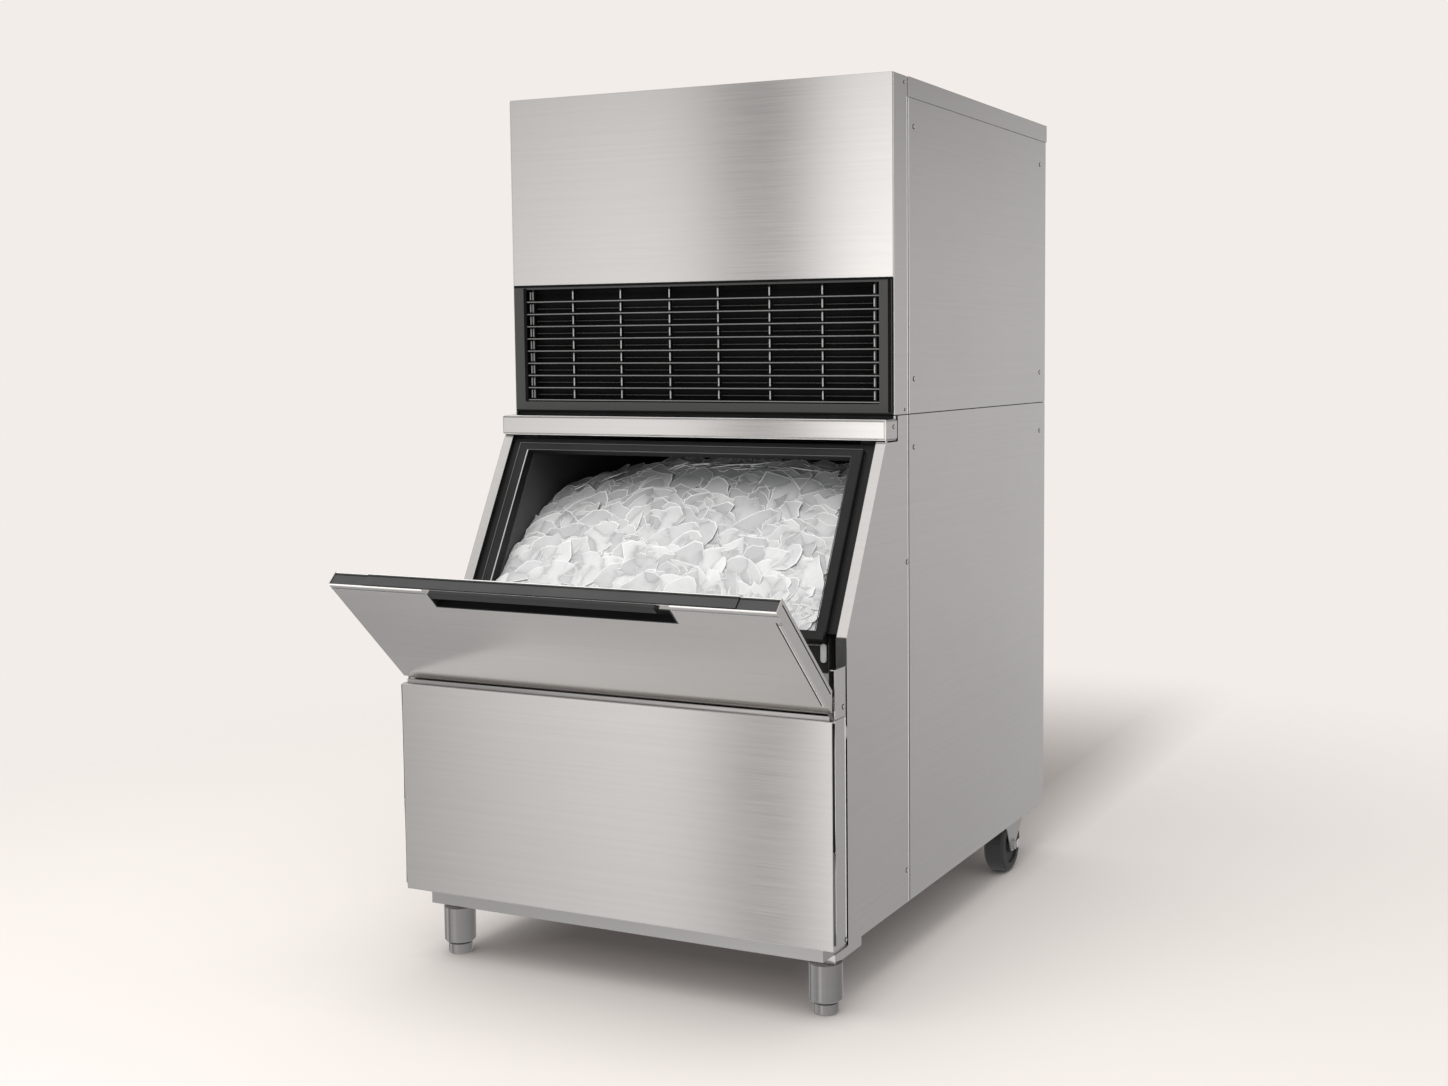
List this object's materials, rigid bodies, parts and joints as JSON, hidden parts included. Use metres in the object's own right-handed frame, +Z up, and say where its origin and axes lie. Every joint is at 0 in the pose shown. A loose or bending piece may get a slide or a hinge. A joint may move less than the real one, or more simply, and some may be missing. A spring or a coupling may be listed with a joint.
{
  "type": "flake ice maker",
  "caption": "Flake ice maker head on an insulated storage bin with a drop-down front door, intake grille, front legs and rear casters, heaped with flake ice",
  "frame": {"origin": "On the floor under the middle of the whole machine with its door open, half way between the door handle and the rear fittings", "axes": "+X to the right seen from the front, +Y to the back, +Z up"},
  "size_m": [0.762, 1.226, 1.41],
  "materials": {
    "brushed_steel": "brushed, satin",
    "plain_steel": "mill finish",
    "black_plastic": "satin moulded",
    "liner_plastic": "smooth moulded",
    "insulation_foam": "charcoal closed-cell foam",
    "white_plastic": "smooth moulded",
    "black_rubber": "matt",
    "copper": "drawn tube",
    "aluminium": "satin",
    "black_enamel": "semi-gloss",
    "flake_ice": "loose translucent flakes"
  },
  "bodies": {
    "cabinet": {"front_base_channel": "brushed_steel", "leg_sleeve_left": "brushed_steel", "leg_sleeve_right": "brushed_steel", "caster_fork_left": "plain_steel", "caster_fork_right": "plain_steel", "bin_side_front_left": "brushed_steel", "bin_side_front_right": "brushed_steel", "bin_side_rear_left": "brushed_steel", "bin_side_rear_right": "brushed_steel", "bin_back_panel": "brushed_steel", "bin_floor_panel": "plain_steel", "bin_insulation": "insulation_foam", "bin_liner": "liner_plastic", "opening_frame": "black_plastic", "hinge_channel": "plain_steel", "hinge_bracket_left": "brushed_steel", "hinge_bracket_right": "brushed_steel", "lower_front_panel": "brushed_steel", "nosing": "brushed_steel", "drain_fitting": "white_plastic", "head_base_deck": "plain_steel", "head_front_panel": "brushed_steel", "head_side_left": "brushed_steel", "head_side_right": "brushed_steel", "head_back_panel": "brushed_steel", "corner_strip_left": "brushed_steel", "corner_strip_right": "brushed_steel", "top_cover": "brushed_steel", "intake_grille": "black_plastic", "air_filter": "liner_plastic", "condenser": "aluminium", "fan_shroud": "plain_steel", "fan_motor": "black_enamel", "compressor": "black_enamel", "refrigerant_pipe": "copper", "gear_motor": "black_enamel", "evaporator_barrel": "plain_steel", "ice_chute": "white_plastic", "water_reservoir": "white_plastic", "control_box": "aluminium", "water_inlet": "aluminium", "power_inlet": "black_plastic", "ice_heap": "flake_ice"},
    "door": {"door_skin": "brushed_steel", "door_foam": "insulation_foam", "door_inner_panel": "white_plastic", "door_top_strip": "black_plastic", "door_end_block_left": "black_plastic", "door_end_block_right": "black_plastic", "door_handle": "black_plastic", "door_gasket": "black_rubber", "hinge_arm_left": "plain_steel", "hinge_arm_right": "plain_steel"},
    "foot_left": {"foot_left": "brushed_steel"},
    "foot_right": {"foot_right": "brushed_steel"},
    "caster_wheel_left": {"caster_wheel_left": "black_rubber"},
    "caster_wheel_right": {"caster_wheel_right": "black_rubber"},
    "fan": {"fan_blade": "black_enamel"},
    "auger": {"auger": "aluminium"},
    "float": {"float_arm": "white_plastic"}
  },
  "joints": [
    {"name": "door_hinge", "type": "hinge", "parent": "cabinet", "child": "door", "pos_m": [0, -0.27047, 0.4778], "axis": [1, 0, 0], "range_deg": [-73.2, 0]},
    {"name": "foot_left_slide", "type": "slide", "parent": "cabinet", "child": "foot_left", "axis": [0, 0, -1], "range_m": [0, 0.025]},
    {"name": "foot_right_slide", "type": "slide", "parent": "cabinet", "child": "foot_right", "axis": [0, 0, -1], "range_m": [0, 0.025]},
    {"name": "caster_left_spin", "type": "hinge", "parent": "cabinet", "child": "caster_wheel_left", "pos_m": [-0.3312, 0.41853, 0.0508], "axis": [1, 0, 0], "continuous": true},
    {"name": "caster_right_spin", "type": "hinge", "parent": "cabinet", "child": "caster_wheel_right", "pos_m": [0.3312, 0.41853, 0.0508], "axis": [1, 0, 0], "continuous": true},
    {"name": "fan_spin", "type": "hinge", "parent": "cabinet", "child": "fan", "pos_m": [-0.04, -0.04147, 0.99], "axis": [0, 1, 0], "continuous": true},
    {"name": "auger_spin", "type": "hinge", "parent": "cabinet", "child": "auger", "pos_m": [0.12, 0.25853, 1.1], "axis": [0, 0, 1], "continuous": true},
    {"name": "float_hinge", "type": "hinge", "parent": "cabinet", "child": "float", "pos_m": [0.209, 0.11853, 1.134], "axis": [0, 1, 0], "range_deg": [-18, 0]}
  ]
}
